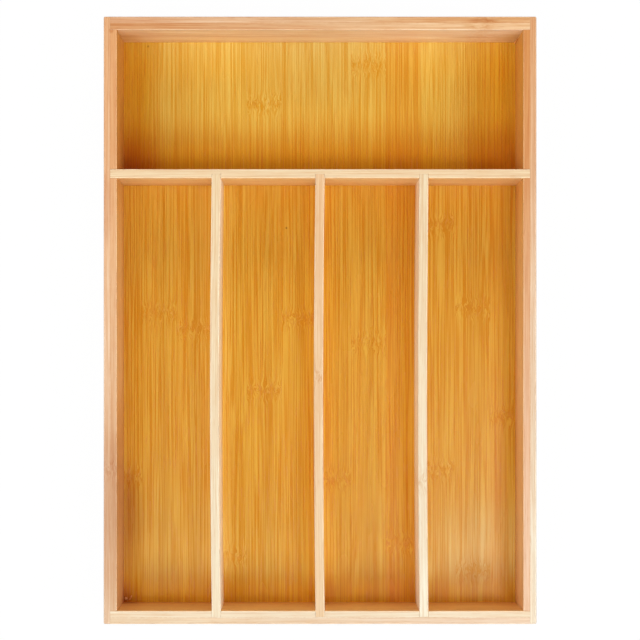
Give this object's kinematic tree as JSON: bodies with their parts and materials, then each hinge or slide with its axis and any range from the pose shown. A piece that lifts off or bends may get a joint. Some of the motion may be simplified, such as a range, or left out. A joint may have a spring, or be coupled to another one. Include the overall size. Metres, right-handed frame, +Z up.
{
  "type": "cutlery tray",
  "caption": "Open-topped bamboo cutlery tray for a drawer, with a cross compartment at the back and long compartments side by side in front of it.",
  "frame": {"origin": "on the plane the tray stands on, under the middle of its outside", "axes": "+X to the right across the tray, +Y from its front to its back, where the cross compartment is, and +Z up out of the open side"},
  "size_m": [0.254, 0.3564, 0.05],
  "materials": {
    "wall_bamboo": "carbonised bamboo plies, clear satin lacquer",
    "divider_bamboo": "pale bamboo, clear satin lacquer",
    "floor_bamboo": "amber bamboo strips with dark fibre streaks, clear satin lacquer"
  },
  "bodies": {
    "root": {"left_wall": "wall_bamboo", "right_wall": "wall_bamboo", "back_wall": "wall_bamboo", "front_wall": "wall_bamboo", "cross_divider": "divider_bamboo", "left_divider": "divider_bamboo", "middle_divider": "divider_bamboo", "right_divider": "divider_bamboo", "floor_panel": "floor_bamboo"}
  },
  "joints": []
}
